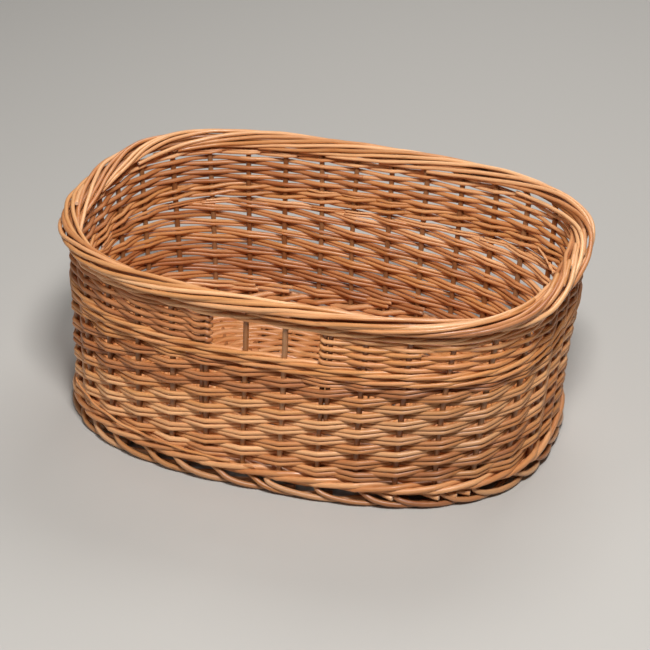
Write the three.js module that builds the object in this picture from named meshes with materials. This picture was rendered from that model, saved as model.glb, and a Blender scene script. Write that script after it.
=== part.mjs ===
import * as THREE from 'three';

// Oval woven display basket of buff willow. Millimetres, +Z up, standing on z = 0,
// long axis along X, the hand hole in the middle of the front wall (-Y).

// Overall size over the rolled border
const length = 540;
const width = 380;
const height = 223;

// How far the wall leans in on each side from the border down to the foot
const flare = 7;
// Squareness of the oval at the rim and at the foot, where 2 is an ellipse
const rimSquareness = 2.88;
const footSquareness = 2.55;

// Uprights: a multiple of six keeps the over-one and the over-two weaves closed
const stakeCount = 36;
const stakeDiameter = 6;
const tipDiameter = 4.8;

// Weavers
const sidingRod = 4.3;
const waleRod = 4.6;
const rowRod = 3.3;
const clearance = 0.3;
// Gap left where a weaver bends past an upright
const weaveClearance = 0.55;

// Bands of the wall, from the floor upwards
const footHeight = 3 * stakeDiameter;
const upsettHeight = 12.6;
const upsettBands = 2;
const sidingCourses = 12;
const midWaleHeight = 17.6;
const midWaleBands = 2;
const holeHeight = 29;
const upperRows = 8;
const topWaleHeight = 9;

// Hand hole: uprights left bare in it, and its shift along the wall from the middle
const bareStakes = 2;
const holeShift = 2.5;
// Second rod pushed in beside the uprights at its edges
const byeLength = 118;

// Rolled border: each tip comes out low on the outside and winds over the top to the inside.
// Turn of the roll from one upright to the next, where it starts and how far a tip runs
const rollStep = 46;
const rollStart = -52;
const borderSpan = 5.5;
const rollOverhang = 2;

// Foot: how far each butt end runs along under the wall
const footSpan = 2.2;

// Woven base: rounds worked outwards from a short straight middle, and the depth between them
const baseThickness = 8;
const baseRounds = 7;
const baseRidge = 3.4;
const baseMiddle = 35;
const middleSquareness = 3.2;

const deg = Math.PI / 180;
const rodSides = 5;
// A five-sided rod of the same section area as the round rod
const roundness = Math.sqrt((2 * Math.PI) / (rodSides * Math.sin((2 * Math.PI) / rodSides)));
const flatness = Math.cos(Math.PI / rodSides);
const stakeR = (stakeDiameter / 2) * roundness;
const tipR = (tipDiameter / 2) * roundness;

// Roll of the border: neighbouring rods just clear each other half way between two uprights
const rollR = (2 * tipR + clearance) / Math.sin(rollStep * deg);
const rollAngle = (phi) => (rollStart + rollStep * (phi - 0.5)) * deg;
const rollTop = Math.max(...[1.5, 2.5, 3.5, 4.5].map((phi) => Math.sin(rollAngle(phi))));
const rollZ = height - rollR * rollTop - tipR * flatness;
const borderBottom = rollZ + rollR * Math.sin(rollAngle(0.5)) - tipR - clearance;
const borderReach = rollOverhang + rollR + tipR;

// Heights where the bands of the wall meet
const topWaleZ = borderBottom - topWaleHeight;
const holeZ = topWaleZ - holeHeight;
const midWaleZ = holeZ - midWaleHeight;
const sidingZ = footHeight + upsettHeight;
const coursePitch = (midWaleZ - sidingZ) / sidingCourses;
const rowPitch = holeHeight / upperRows;

// Oval of the wall line through the middle of the uprights
const rimA = length / 2 - borderReach;
const rimB = width / 2 - borderReach;

function ovalPoint(a, b, n, psi) {
  const c = Math.cos(psi);
  const s = Math.sin(psi);
  const r = Math.pow(Math.pow(Math.abs(c) / a, n) + Math.pow(Math.abs(s) / b, n), -1 / n);
  return new THREE.Vector3(r * c, r * s, 0);
}

const midA = rimA - flare / 2;
const midB = rimB - flare / 2;
const midN = (rimSquareness + footSquareness) / 2;

// Arc length round the oval at half height, from the middle of the front, counter-clockwise
const arcSteps = 1440;
const arcs = [0];
for (let i = 1; i <= arcSteps; i += 1) {
  const p = ovalPoint(midA, midB, midN, -Math.PI / 2 + ((i - 1) / arcSteps) * 2 * Math.PI);
  const q = ovalPoint(midA, midB, midN, -Math.PI / 2 + (i / arcSteps) * 2 * Math.PI);
  arcs.push(arcs[i - 1] + p.distanceTo(q));
}
const perimeter = arcs[arcSteps];
const spacing = perimeter / stakeCount;

// Direction of a station, counted in upright spacings from the middle of the hand hole
function stationAngle(station) {
  const along = station * spacing + holeShift;
  const s = ((along % perimeter) + perimeter) % perimeter;
  let low = 0;
  let high = arcSteps;
  while (high - low > 1) {
    const mid = (low + high) >> 1;
    if (arcs[mid] > s) high = mid;
    else low = mid;
  }
  const part = (s - arcs[low]) / (arcs[high] - arcs[low]);
  return -Math.PI / 2 + ((low + part) / arcSteps) * 2 * Math.PI;
}

function outward(station) {
  const p = ovalPoint(midA, midB, midN, stationAngle(station));
  const nx = Math.sign(p.x) * Math.pow(Math.abs(p.x) / midA, midN - 1) / midA;
  const ny = Math.sign(p.y) * Math.pow(Math.abs(p.y) / midB, midN - 1) / midB;
  return new THREE.Vector3(nx, ny, 0).normalize();
}

// A point at a station and height, moved outward from the wall line
function wallPoint(station, z, out) {
  const psi = stationAngle(station);
  const rim = ovalPoint(rimA, rimB, rimSquareness, psi);
  const foot = ovalPoint(rimA - flare, rimB - flare, footSquareness, psi);
  const p = foot.lerp(rim, z / height);
  p.z = z;
  return p.addScaledVector(outward(station), out);
}

// Skin a row of section rings into one closed solid
function loft(rings, closed) {
  const sides = rings[0].length;
  const positions = [];
  rings.forEach((ring) => ring.forEach((p) => positions.push(p.x, p.y, p.z)));
  const index = [];
  const spans = closed ? rings.length : rings.length - 1;
  for (let i = 0; i < spans; i += 1) {
    const j = (i + 1) % rings.length;
    for (let k = 0; k < sides; k += 1) {
      const m = (k + 1) % sides;
      index.push(i * sides + k, i * sides + m, j * sides + m);
      index.push(i * sides + k, j * sides + m, j * sides + k);
    }
  }
  if (!closed) {
    const last = (rings.length - 1) * sides;
    for (let k = 1; k < sides - 1; k += 1) {
      index.push(0, k + 1, k);
      index.push(last, last + k, last + k + 1);
    }
  }
  const geometry = new THREE.BufferGeometry();
  geometry.setAttribute('position', new THREE.Float32BufferAttribute(positions, 3));
  geometry.setIndex(index);
  geometry.computeVertexNormals();
  return geometry;
}

const basket = new THREE.Group();
basket.name = 'display_basket';

function addPiece(name, geometry, color, roughness) {
  const material = new THREE.MeshStandardMaterial({ color, roughness, metalness: 0 });
  material.name = name + '_willow';
  const mesh = new THREE.Mesh(geometry, material);
  mesh.name = name;
  basket.add(mesh);
}

// One section of a rod: the path runs at the given pitch angle in the plane of the wall
function rodRing(station, z, out, pitch, radius) {
  const centre = wallPoint(station, z, out);
  const n = outward(station);
  const along = new THREE.Vector3(-n.y, n.x, 0);
  const v = along.multiplyScalar(Math.sin(pitch * deg));
  v.z = -Math.cos(pitch * deg);
  const ring = [];
  for (let k = 0; k < rodSides; k += 1) {
    const beta = (-90 + 180 / rodSides + (360 / rodSides) * k) * deg;
    const p = centre.clone();
    p.addScaledVector(n, radius * Math.cos(beta));
    p.addScaledVector(v, radius * Math.sin(beta));
    ring.push(p);
  }
  return ring;
}

const stakeColor = 0x9a6234;
const rodColor = 0xc48850;
const two = (i) => String(i).padStart(2, '0');

// Uprights. Each rod lies along the foot with its butt, turns up through the wall
// and is laid down to the right in the rolled border.
const floorZ = stakeR * flatness;
const footOut = 0.92 * stakeDiameter;
const footMidZ = footHeight - 1.3 * stakeDiameter;
for (let i = 0; i < stakeCount; i += 1) {
  const s = i + 0.5;
  const rings = [];
  rings.push(rodRing(s + footSpan, floorZ, -0.75 * stakeDiameter, 180, stakeR));
  rings.push(rodRing(s + 1.5, floorZ, 0.42 * stakeDiameter, 180, stakeR));
  rings.push(rodRing(s + 0.5, footMidZ, footOut, 160, stakeR));
  rings.push(rodRing(s + 0.1, footHeight - 0.5 * stakeDiameter, 0.1 * stakeDiameter, 125, stakeR));
  rings.push(rodRing(s, footHeight, 0, 90, stakeR));
  rings.push(rodRing(s, borderBottom, 0, 90, stakeR));
  const bendZ = borderBottom + 0.5 * stakeDiameter;
  rings.push(rodRing(s + 0.1, bendZ, 0.15 * stakeDiameter, 45, (stakeR + tipR) / 2));
  [0.5, 1.5, 2.5, 3.5, 4.5, borderSpan].forEach((phi) => {
    const a = rollAngle(phi);
    const climb = Math.cos(a) * rollR * rollStep * deg;
    const pitch = Math.atan2(phi < borderSpan ? climb : 0, spacing) / deg;
    rings.push(rodRing(s + phi, rollZ + rollR * Math.sin(a), rollOverhang + rollR * Math.cos(a), pitch, tipR));
  });
  addPiece('stake_' + two(i + 1), loft(rings, false), stakeColor, 0.6);
}

// Sections of the weavers, across the wall and up it
const pairSection = [[0, 1], [1, 0.5], [1, -0.5], [0, -1], [-1, -0.5], [-1, 0.5]];
const rowSection = [[1, 1], [1, -1], [-1, -1], [-1, 1]];
const bandSection = rowSection.map(([w, h]) => [0.9 * w, h]);

function weaverRing(centre, across, halfWidth, halfHeight, section) {
  return section.map(([w, h]) => {
    const p = centre.clone().addScaledVector(across, w * halfWidth);
    p.z += h * halfHeight;
    return p;
  });
}

// The two uprights beside the hand hole are doubled by a bye stake on the side away from it
const rightEdge = bareStakes / 2;
const leftEdge = stakeCount - 1 - bareStakes / 2;
const byeGap = (stakeR + stakeR * flatness + clearance) / spacing;
const byeTop = borderBottom - stakeDiameter / 3;
const byeBottom = byeTop - byeLength;
const byeStation = (i) => i + 0.5 + (i === rightEdge ? byeGap : -byeGap);

// Stations where a weaver crosses upright i, in the order it meets them going right
function crossings(i, doubled) {
  if (!doubled || (i !== rightEdge && i !== leftEdge)) return [i + 0.5];
  return i === rightEdge ? [i + 0.5, byeStation(i)] : [byeStation(i), i + 0.5];
}

// A closed course of rods lying one above the other, in front of some uprights and behind the rest
function addCourse(name, z, pitch, rod, doubled, inFront, section) {
  const out = stakeR + rod / 2 + weaveClearance;
  const rings = [];
  for (let i = 0; i < stakeCount; i += 1) {
    crossings(i, doubled).forEach((s) => {
      const centre = wallPoint(s, z, inFront(i) ? out : -out);
      rings.push(weaverRing(centre, outward(s), rod / 2, (pitch - clearance) / 2, section));
    });
  }
  addPiece(name, loft(rings, true), rodColor, 0.55);
}

// Upsett and wales pass over two uprights and under one
const upsettPitch = upsettHeight / upsettBands;
for (let j = 0; j < upsettBands; j += 1) {
  addCourse('upsett_' + (j + 1), footHeight + upsettPitch * (j + 0.5), upsettPitch, waleRod, false,
    (i) => (i + j) % 3 !== 2, pairSection);
}
for (let j = 0; j < sidingCourses; j += 1) {
  const z = sidingZ + coursePitch * (j + 0.5);
  addCourse('siding_course_' + two(j + 1), z, coursePitch, sidingRod, z + coursePitch / 2 > byeBottom,
    (i) => (i + j) % 2 === 0, pairSection);
}
const midPitch = midWaleHeight / midWaleBands;
for (let j = 0; j < midWaleBands; j += 1) {
  addCourse('mid_wale_' + (j + 1), midWaleZ + midPitch * (j + 0.5), midPitch, waleRod, true,
    (i) => (i + 2 * j) % 3 !== 0, bandSection);
}
addCourse('top_wale', topWaleZ + topWaleHeight / 2, topWaleHeight, waleRod, true, (i) => i % 3 !== 1, bandSection);

// Weavers beside the hand hole: two rows of one rod, turned back round an upright at the hole
const rowHalf = 0.4 * rowRod;
const rowOut = stakeR + rowHalf + weaveClearance;
const endPast = 0.45 * stakeDiameter;

function addRowPair(name, z, turnRight) {
  const halfHeight = (rowPitch - clearance) / 2;
  const rings = [];
  const push = (centre, across) => rings.push(weaverRing(centre, across, rowHalf, halfHeight, rowSection));
  const side = (i, row) => ((i + row) % 2 === 1 ? 1 : -1);
  const stations = [];
  for (let i = rightEdge; i <= leftEdge; i += 1) {
    crossings(i, true).forEach((s) => stations.push([i, s]));
  }
  const first = turnRight ? leftEdge : rightEdge;
  const turn = turnRight ? rightEdge : leftEdge;
  const toTurn = turnRight ? -1 : 1;
  const path = turnRight ? stations.slice().reverse() : stations.slice();
  const past = -toTurn * endPast / spacing;
  const endStation = first + 0.5 + past;
  push(wallPoint(endStation, z, side(first, 0) * rowOut), outward(endStation).multiplyScalar(toTurn));
  path.forEach(([i, s]) => push(wallPoint(s, z, side(i, 0) * rowOut), outward(s).multiplyScalar(toTurn)));
  const n = outward(turn + 0.5);
  const along = new THREE.Vector3(-n.y, n.x, 0).multiplyScalar(toTurn);
  [60, 120].forEach((a) => {
    const radial = n.clone().multiplyScalar(side(turn, 0) * Math.cos(a * deg));
    radial.addScaledVector(along, Math.sin(a * deg));
    const centre = wallPoint(turn + 0.5, z + rowPitch * a / 180, 0).addScaledVector(radial, rowOut);
    push(centre, radial.multiplyScalar(toTurn * side(turn, 0)));
  });
  path.slice().reverse().forEach(([i, s]) => {
    push(wallPoint(s, z + rowPitch, side(i, 1) * rowOut), outward(s).multiplyScalar(-toTurn));
  });
  push(wallPoint(endStation, z + rowPitch, side(first, 1) * rowOut), outward(endStation).multiplyScalar(-toTurn));
  addPiece(name, loft(rings, false), rodColor, 0.55);
}
for (let j = 0; j < upperRows / 2; j += 1) {
  addRowPair('upper_weaver_' + (j + 1), holeZ + rowPitch * (2 * j + 0.5), j % 2 === 0);
}

[['bye_stake_right', rightEdge], ['bye_stake_left', leftEdge]].forEach(([name, i]) => {
  const s = byeStation(i);
  const low = rodRing(s, byeBottom, 0, 90, stakeR);
  const high = rodRing(s, byeTop, 0, 90, stakeR);
  addPiece(name, loft([low, high], false), stakeColor, 0.6);
});

// Woven base: rounds of rods in ovals, held by the uprights under the upsett
const baseTop = footHeight - 2 * clearance;
const baseLow = baseTop - baseThickness;
const baseOut = stakeR + clearance / 2;
const baseInset = flare * (1 - baseTop / height) + baseOut;
const baseA = rimA - baseInset;
const baseB = rimB - baseInset;

// A ring of the base at part t of the way out, in the direction of every second upright
function baseRing(t, z) {
  const a = baseMiddle + (baseA - baseMiddle) * t;
  const n = middleSquareness + (footSquareness - middleSquareness) * t;
  const ring = [];
  for (let i = 0; i < stakeCount; i += 2) {
    const p = ovalPoint(a, baseB * t, n, stationAngle(i + 0.5));
    p.z = z;
    ring.push(p);
  }
  return ring;
}

// The edge of the base, close inside every upright
function baseEdge(z) {
  const ring = [];
  for (let i = 0; i < stakeCount; i += 1) ring.push(wallPoint(i + 0.5, z, -baseOut));
  return ring;
}

// Rings of one face from the middle out, on ridges and in the furrows between them
function baseFace(rounds, ridgeZ, furrowZ) {
  const rings = [];
  for (let j = 1; j < 2 * rounds; j += 1) {
    rings.push(baseRing(j / (2 * rounds), j % 2 === 0 ? ridgeZ : furrowZ));
  }
  return rings;
}

function baseGeometry() {
  const positions = [];
  const index = [];
  const put = (ring) => {
    const first = positions.length / 3;
    ring.forEach((p) => positions.push(p.x, p.y, p.z));
    return first;
  };
  const face = (up, a, b, c) => (up ? index.push(a, b, c) : index.push(a, c, b));
  const half = stakeCount / 2;
  const skin = (rings, edgeZ, up) => {
    const firsts = rings.map(put);
    for (let k = 1; k < half - 1; k += 1) face(up, firsts[0], firsts[0] + k, firsts[0] + k + 1);
    for (let j = 1; j < firsts.length; j += 1) {
      for (let k = 0; k < half; k += 1) {
        const m = (k + 1) % half;
        face(up, firsts[j - 1] + k, firsts[j] + k, firsts[j] + m);
        face(up, firsts[j - 1] + k, firsts[j] + m, firsts[j - 1] + m);
      }
    }
    const edge = put(baseEdge(edgeZ));
    const last = firsts[firsts.length - 1];
    for (let k = 0; k < half; k += 1) {
      const m = (k + 1) % half;
      face(up, last + k, edge + 2 * k, edge + 2 * k + 1);
      face(up, last + k, edge + 2 * k + 1, last + m);
      face(up, last + m, edge + 2 * k + 1, edge + 2 * m);
    }
    return edge;
  };
  const topEdge = skin(baseFace(baseRounds, baseTop, baseTop - baseRidge), baseTop, true);
  const lowRidge = baseRidge / 2;
  const lowRings = baseFace(Math.ceil(baseRounds / 2), baseLow, baseLow + lowRidge);
  const lowEdge = skin(lowRings, baseLow, false);
  for (let k = 0; k < stakeCount; k += 1) {
    const m = (k + 1) % stakeCount;
    index.push(lowEdge + k, lowEdge + m, topEdge + m);
    index.push(lowEdge + k, topEdge + m, topEdge + k);
  }
  const geometry = new THREE.BufferGeometry();
  geometry.setAttribute('position', new THREE.Float32BufferAttribute(positions, 3));
  geometry.setIndex(index);
  geometry.computeVertexNormals();
  return geometry;
}
addPiece('woven_base', baseGeometry(), rodColor, 0.6);

export default basket;
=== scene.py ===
import bpy
import math
import numpy as np
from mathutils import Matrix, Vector


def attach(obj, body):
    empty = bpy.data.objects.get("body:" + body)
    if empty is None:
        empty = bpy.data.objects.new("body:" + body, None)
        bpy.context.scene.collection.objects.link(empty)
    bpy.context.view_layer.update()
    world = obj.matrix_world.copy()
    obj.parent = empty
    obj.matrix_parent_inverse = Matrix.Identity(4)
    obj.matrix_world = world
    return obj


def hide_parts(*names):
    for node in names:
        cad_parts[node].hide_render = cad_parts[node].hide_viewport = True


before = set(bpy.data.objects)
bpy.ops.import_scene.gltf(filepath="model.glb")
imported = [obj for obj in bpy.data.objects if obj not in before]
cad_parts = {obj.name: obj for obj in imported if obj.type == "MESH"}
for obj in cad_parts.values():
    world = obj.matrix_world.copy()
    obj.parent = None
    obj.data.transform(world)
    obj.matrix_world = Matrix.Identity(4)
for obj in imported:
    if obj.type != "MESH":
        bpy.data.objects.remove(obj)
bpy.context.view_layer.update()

mm = 0.001
print("frame loaded,", len(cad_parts), "nodes")

# the wall that every rod follows, in millimetres; stations count uprights from the hand hole's middle
wallShape = {
    "rimHalf": (256.4, 177.15),      # wall line at the rim, half length and half width
    "flare": 4.8,                    # how far it leans in at the floor
    "rimSquareness": 2.88,
    # hand-bent corners of the rim: front left, front right, back right, back left
    "cornerSquareness": (2.72, 3.2, 2.9, 3.5),
    "footSquareness": 2.6,
    "height": 223.0,
    "uprights": 36,
    "holeShift": 2.5,                # hand hole off the middle of the front
    "holeHalf": 1.5,                 # its edge uprights, in stations from its middle
    "byeGap": 5.6,                   # from an edge upright to the bye stake beside it
    "lean": 9.5,                     # the rim sits this far to the right of the foot
    "twist": 0.05,                   # uprights lean by this part of their spacing below the hole
    # places where the wall was bent out by hand: station, spread, height, spread, amount
    "bulges": [(26.4, 1.7, 215.0, 70.0, 4.5), (10.4, 1.6, 150.0, 55.0, 4.0)],
    "uprightThickness": 5.4,         # that the weavers bend round
    "footTop": 15.5,                 # heights where the bands of the wall meet
    "upsettTop": 29.2,
    "sidingTop": 144.0,
    "holeBottom": 160.6,
    "holeTop": 193.0,
    "borderBottom": 203.3,
}


def ovalPoints(halfX, halfY, squareness, angle):
    c = np.cos(angle)
    s = np.sin(angle)
    r = ((np.abs(c) / halfX) ** squareness + (np.abs(s) / halfY) ** squareness) ** (-1.0 / squareness)
    return np.stack([r * c, r * s], axis=-1)


def lengthAlong(points):
    return np.concatenate([[0.0], np.cumsum(np.linalg.norm(np.diff(points, axis=0), axis=1))])


def ramp(value, start, span):
    # 0 at the start and 1 from a span further on; a negative span looks the other way
    return np.clip((value - start) / span, 0, 1)


uprightCount = wallShape["uprights"]
rimX, rimY = wallShape["rimHalf"]
midX = rimX - wallShape["flare"] / 2
midY = rimY - wallShape["flare"] / 2
midSquareness = (wallShape["rimSquareness"] + wallShape["footSquareness"]) / 2
angleGrid = np.linspace(-math.pi / 2, 1.5 * math.pi, 2881)
arcGrid = lengthAlong(ovalPoints(midX, midY, midSquareness, angleGrid))
spacing = arcGrid[-1] / uprightCount


def stationAngle(station):
    along = np.mod(np.asarray(station, float) * spacing + wallShape["holeShift"], arcGrid[-1])
    return np.interp(along, arcGrid, angleGrid)


def outwardAt(station):
    p = ovalPoints(midX, midY, midSquareness, stationAngle(station))
    nx = np.sign(p[..., 0]) * (np.abs(p[..., 0]) / midX) ** (midSquareness - 1) / midX
    ny = np.sign(p[..., 1]) * (np.abs(p[..., 1]) / midY) ** (midSquareness - 1) / midY
    n = np.stack([nx, ny, np.zeros_like(nx)], axis=-1)
    return n / np.linalg.norm(n, axis=-1, keepdims=True)


def wallPoints(station, z, out):
    z = np.asarray(z, float)
    station = np.asarray(station, float) + wallShape["twist"] * (z / wallShape["holeBottom"] - 1)
    angle = stationAngle(station)
    flare = wallShape["flare"]
    frontLeft, frontRight, backRight, backLeft = wallShape["cornerSquareness"]
    right = np.cos(angle) > 0
    front = np.where(right, frontRight, frontLeft)
    back = np.where(right, backRight, backLeft)
    rim = ovalPoints(rimX, rimY, np.where(np.sin(angle) > 0, back, front), angle)
    foot = ovalPoints(rimX - flare, rimY - flare, wallShape["footSquareness"], angle)
    t = (z / wallShape["height"])[..., None]
    p = foot + (rim - foot) * t
    p[..., 0] += wallShape["lean"] * (t[..., 0] - 0.5)
    p = np.concatenate([p, z[..., None]], axis=-1)
    around = np.mod(station, uprightCount)
    for place, wide, height, tall, amount in wallShape["bulges"]:
        out = out + amount * np.exp(-((around - place) / wide) ** 2 - ((z - height) / tall) ** 2)
    return p + outwardAt(station) * np.asarray(out, float)[..., None]


# the uprights beside the hand hole are doubled, so a weaver lies flat over both
rightEdge = wallShape["holeHalf"]
leftEdge = uprightCount - wallShape["holeHalf"]
byeGap = wallShape["byeGap"] / spacing


def weaveStation(station):
    turns = np.floor(np.asarray(station, float) / uprightCount)
    knots = [0, rightEdge, rightEdge + byeGap, rightEdge + 1,
             leftEdge - 1, leftEdge - byeGap, leftEdge, uprightCount]
    flat = [0, rightEdge, rightEdge, rightEdge + 1, leftEdge - 1, leftEdge, leftEdge, uprightCount]
    return np.interp(station - turns * uprightCount, knots, flat) + turns * uprightCount


# samples along a weaver, close together at each upright where it bends most
bendSteps = np.array([-0.5, -0.32, -0.18, -0.1, -0.05, 0.0, 0.05, 0.1, 0.18, 0.32])
endClearance = 0.02


def runStations(begin, end):
    whole = np.arange(math.floor(begin) - 1, math.ceil(end) + 2)
    grid = (whole[:, None] + 0.5 + bendSteps[None, :]).ravel()
    grid = grid[(grid > begin + endClearance) & (grid < end - endClearance)]
    return np.concatenate([[begin], grid, [end]])


def wander(rng, station, size, pace=1.0):
    # slow sideways drift of a hand-laid rod, made of four waves, the quicker ones smaller
    total = np.zeros_like(station)
    for k in (0.7, 1.3, 2.3, 3.7):
        start = rng.uniform(0, 6.28)
        total += np.sin(station * k * pace + start) * rng.uniform(0.4, 1.0) / (0.6 + 0.4 * k)
    return total * size * 0.5


def smoothAlong(values, width):
    half = int(width * 3)
    kernel = np.exp(-0.5 * (np.arange(-half, half + 1) / width) ** 2)
    kernel /= kernel.sum()
    head = 2 * values[0] - values[half:0:-1]
    tail = 2 * values[-1] - values[-2:-half - 2:-1]
    return np.convolve(np.concatenate([head, values, tail]), kernel, mode="valid")


def overOne(phase, sharp=0.996):
    # in front at even phases, behind at odd ones, straight between and kinked at each upright
    return np.arcsin(sharp * np.cos(math.pi * phase)) / math.asin(sharp)


def frontToBack(station, pair):
    backPart = 0.5 + 0.5 * np.clip(2 * np.sin(stationAngle(station)), -1, 1)
    return pair[0] + (pair[1] - pair[0]) * backPart


# every piece is a bundle of rods
rodShape = {
    "bevelLength": 0.12, "bevelRadius": 0.84,   # of a cut end, as parts of the radius
    "grainShift": 400.0,             # rods take their grain from places up to this far apart
    "sheetMargin": (0.004, 0.06),    # kept free round each rod's strip of the sheet
}
upward = np.array([0.0, 0.0, 1.0])


def newBundle(seed):
    bundle = {name: [] for name in ("verts", "faces", "uvs", "space", "look", "smooth")}
    return dict(bundle, count=0, rods=0), np.random.default_rng(seed)


def padEnds(values):
    return np.concatenate([values[:1], values, values[-1:]])


def addRod(bundle, rng, points, side, radius, tint, paintedShade=0.0, sides=10):
    # a round rod swept along its points, with its two cut ends
    points = np.asarray(points, float)
    radius = np.broadcast_to(np.asarray(radius, float), (len(points),))
    paintedShade = padEnds(np.broadcast_to(np.asarray(paintedShade, float), (len(points),)))
    tangent = np.gradient(points, axis=0)
    tangent /= np.linalg.norm(tangent, axis=1, keepdims=True)
    u = side - tangent * np.sum(side * tangent, axis=1, keepdims=True)
    u /= np.linalg.norm(u, axis=1, keepdims=True)
    v = padEnds(np.cross(tangent, u))
    u = padEnds(u)
    # a small bevel at each cut end
    points = padEnds(points)
    points[0] -= tangent[0] * rodShape["bevelLength"] * radius[0]
    points[-1] += tangent[-1] * rodShape["bevelLength"] * radius[-1]
    radius = padEnds(radius)
    radius[[0, -1]] *= rodShape["bevelRadius"]
    n = len(points)
    around = np.linspace(0, 2 * math.pi, sides, endpoint=False)
    c = np.cos(around)[None, :]
    s = np.sin(around)[None, :]
    across = u[:, None, :] * c[..., None] + v[:, None, :] * s[..., None]
    ring = points[:, None, :] + radius[:, None, None] * across
    along = lengthAlong(points)
    shift = rng.uniform(0, rodShape["grainShift"], 3)
    space = np.zeros((n, sides, 3))
    space[..., 0] = along[:, None] + shift[0]
    space[..., 1] = radius[:, None] * c + shift[1]
    space[..., 2] = radius[:, None] * s + shift[2]
    # tint, painted shade where it stands in the wall, cut end, and a warm or cool cast of its own
    look = np.zeros((n, sides, 4))
    look[..., 0] = tint
    look[..., 1] = paintedShade[:, None]
    look[[0, -1], :, 2] = 1.0
    look[..., 3] = rng.uniform(0, 1)
    base = bundle["count"]
    row = bundle["rods"]
    bundle["verts"].append(ring.reshape(-1, 3) * mm)
    bundle["space"].append(space.reshape(-1, 3))
    bundle["look"].append(look.reshape(-1, 4))
    i, k = np.meshgrid(np.arange(n - 1), np.arange(sides), indexing="ij")
    m = (k + 1) % sides
    quads = np.stack([i * sides + k, i * sides + m, (i + 1) * sides + m, (i + 1) * sides + k], axis=-1)
    quads = quads.reshape(-1, 4)
    bundle["faces"] += (quads + base).tolist()
    part = along / along[-1]
    corners = [np.stack([part[i + a], (k + b) / sides], -1) for a, b in ((0, 0), (0, 1), (1, 1), (1, 0))]
    bundle["uvs"].append((row, np.stack(corners, axis=2).reshape(-1, 2)))
    bundle["smooth"] += [True] * len(quads)
    backwards = range(sides - 1, -1, -1)
    for start, end, order in ((0, 0.0, backwards), ((n - 1) * sides, 1.0, range(sides))):
        bundle["faces"].append([base + start + j for j in order])
        bundle["uvs"].append((row, np.array([[end, j / sides] for j in order])))
        bundle["smooth"].append(False)
    bundle["count"] += n * sides
    bundle["rods"] += 1


def addWallRod(bundle, rng, station, z, out, radius, tint, paintedShade=0.0, sides=10):
    addRod(bundle, rng, wallPoints(station, z, out), outwardAt(station), radius, tint, paintedShade, sides)


def bundleObject(bundle, name, material, nodes):
    mesh = bpy.data.meshes.new(name)
    mesh.from_pydata(np.concatenate(bundle["verts"]).tolist(), [], bundle["faces"])
    space = mesh.attributes.new("rodSpace", "FLOAT_VECTOR", "POINT")
    space.data.foreach_set("vector", np.concatenate(bundle["space"]).astype(np.float32).ravel())
    look = mesh.attributes.new("rodLook", "FLOAT_COLOR", "POINT")
    look.data.foreach_set("color", np.concatenate(bundle["look"]).astype(np.float32).ravel())
    # one strip of the sheet for each rod
    rows = bundle["rods"]
    marginU, marginV = rodShape["sheetMargin"]
    strips = []
    for row, uv in bundle["uvs"]:
        strip = uv.copy()
        strip[:, 0] = marginU + (1 - 2 * marginU) * strip[:, 0]
        strip[:, 1] = (row + marginV + (1 - 2 * marginV) * strip[:, 1]) / rows
        strips.append(strip)
    uvLayer = mesh.uv_layers.new(name="OFBake")
    uvLayer.data.foreach_set("uv", np.concatenate(strips).astype(np.float32).ravel())
    mesh.polygons.foreach_set("use_smooth", bundle["smooth"])
    mesh.materials.append(material)
    mesh.update()
    piece = bpy.data.objects.new(name, mesh)
    bpy.context.scene.collection.objects.link(piece)
    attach(piece, "root")
    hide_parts(*nodes)
    print(name, rows, "rods,", len(bundle["faces"]), "faces")


# shader helpers
def newGroup(name, inputs, outputs):
    group = bpy.data.node_groups.new(name, "ShaderNodeTree")
    for label, kind, value in inputs:
        socket = group.interface.new_socket(label, in_out="INPUT", socket_type="NodeSocket" + kind)
        if value is not None:
            socket.default_value = value
    for label, kind in outputs:
        group.interface.new_socket(label, in_out="OUTPUT", socket_type="NodeSocket" + kind)
    return group, group.nodes.new("NodeGroupInput"), group.nodes.new("NodeGroupOutput")


def feed(tree, value, socket):
    if isinstance(value, bpy.types.NodeSocket):
        tree.links.new(value, socket)
    else:
        socket.default_value = value


def mathNode(tree, operation, first, second, clamp=False):
    node = tree.nodes.new("ShaderNodeMath")
    node.operation = operation
    node.use_clamp = clamp
    feed(tree, first, node.inputs[0])
    feed(tree, second, node.inputs[1])
    return node.outputs[0]


def mixColor(tree, factor, first, second):
    # the colour sockets of a mix node are 6 and 7, its colour output is 2
    node = tree.nodes.new("ShaderNodeMix")
    node.data_type = "RGBA"
    feed(tree, factor, node.inputs[0])
    feed(tree, first, node.inputs[6])
    feed(tree, second, node.inputs[7])
    return node.outputs[2]


def rangeNode(tree, value, *limits):
    node = tree.nodes.new("ShaderNodeMapRange")
    for label, limit in zip(("From Min", "From Max", "To Min", "To Max"), limits):
        node.inputs[label].default_value = limit
    tree.links.new(value, node.inputs["Value"])
    return node.outputs["Result"]


def stretchedSpace(tree, vector, stretch):
    node = tree.nodes.new("ShaderNodeVectorMath")
    node.operation = "MULTIPLY"
    node.inputs[1].default_value = stretch
    tree.links.new(vector, node.inputs[0])
    return node.outputs[0]


def stretchedNoise(tree, vector, stretch, detail, roughness=0.55):
    noise = tree.nodes.new("ShaderNodeTexNoise")
    noise.inputs["Scale"].default_value = 1.0
    noise.inputs["Detail"].default_value = detail
    noise.inputs["Roughness"].default_value = roughness
    tree.links.new(stretchedSpace(tree, vector, stretch), noise.inputs["Vector"])
    return noise.outputs[0]


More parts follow.
